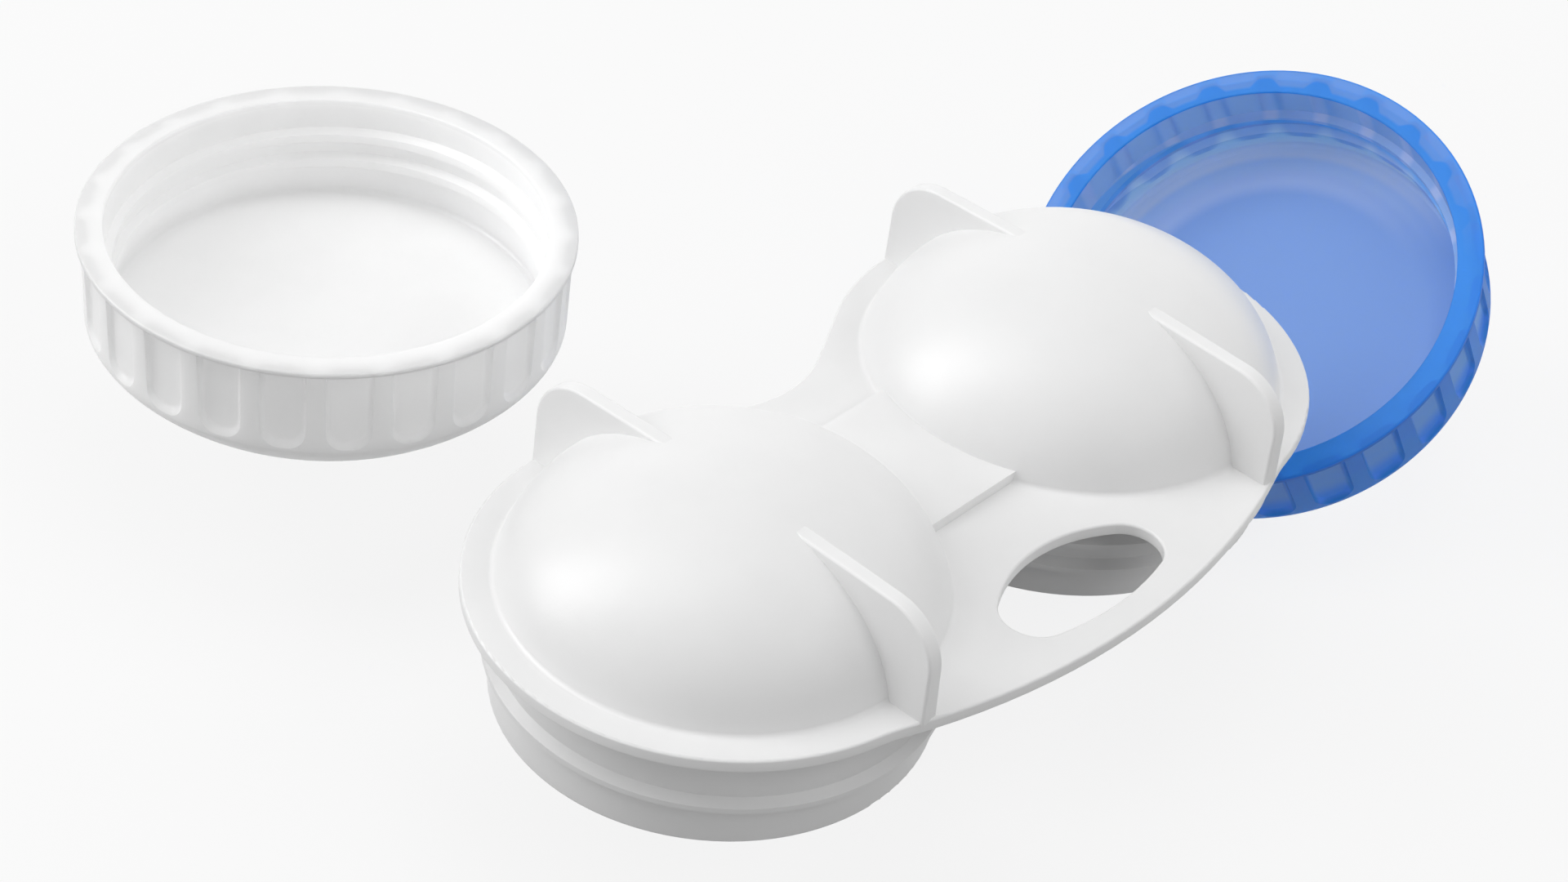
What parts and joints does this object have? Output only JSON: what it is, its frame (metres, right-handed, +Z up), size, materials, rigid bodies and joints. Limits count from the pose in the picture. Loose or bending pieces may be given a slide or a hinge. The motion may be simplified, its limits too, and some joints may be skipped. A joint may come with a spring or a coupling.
{
  "type": "contact lens case",
  "caption": "Two-well contact lens case lying upside down, domes up with finger fins, with its fluted white and translucent blue screw caps off beside it.",
  "frame": {"origin": "middle of the flat raised bridge between the two domes", "axes": "+Z up, out of the bridge and the way the domes stand as the case lies upside down; X along the two wells, towards the blue cap; Y away from the finger hole, towards the white cap"},
  "size_m": [0.0837, 0.0715, 0.026],
  "materials": {
    "white_plastic": "satin, opaque white",
    "blue_plastic": "satin, translucent blue"
  },
  "bodies": {
    "base": {"case_base": "white_plastic"},
    "white_cap": {"white_cap": "white_plastic"},
    "blue_cap": {"blue_cap": "blue_plastic"}
  },
  "joints": [
    {"name": "white_cap_lift", "type": "slide", "parent": "base", "child": "white_cap", "axis": [0, 0, 1], "range_m": [0, 0.03]},
    {"name": "blue_cap_lift", "type": "slide", "parent": "base", "child": "blue_cap", "axis": [0.65, 0, 0.7599], "range_m": [0, 0.03]}
  ]
}
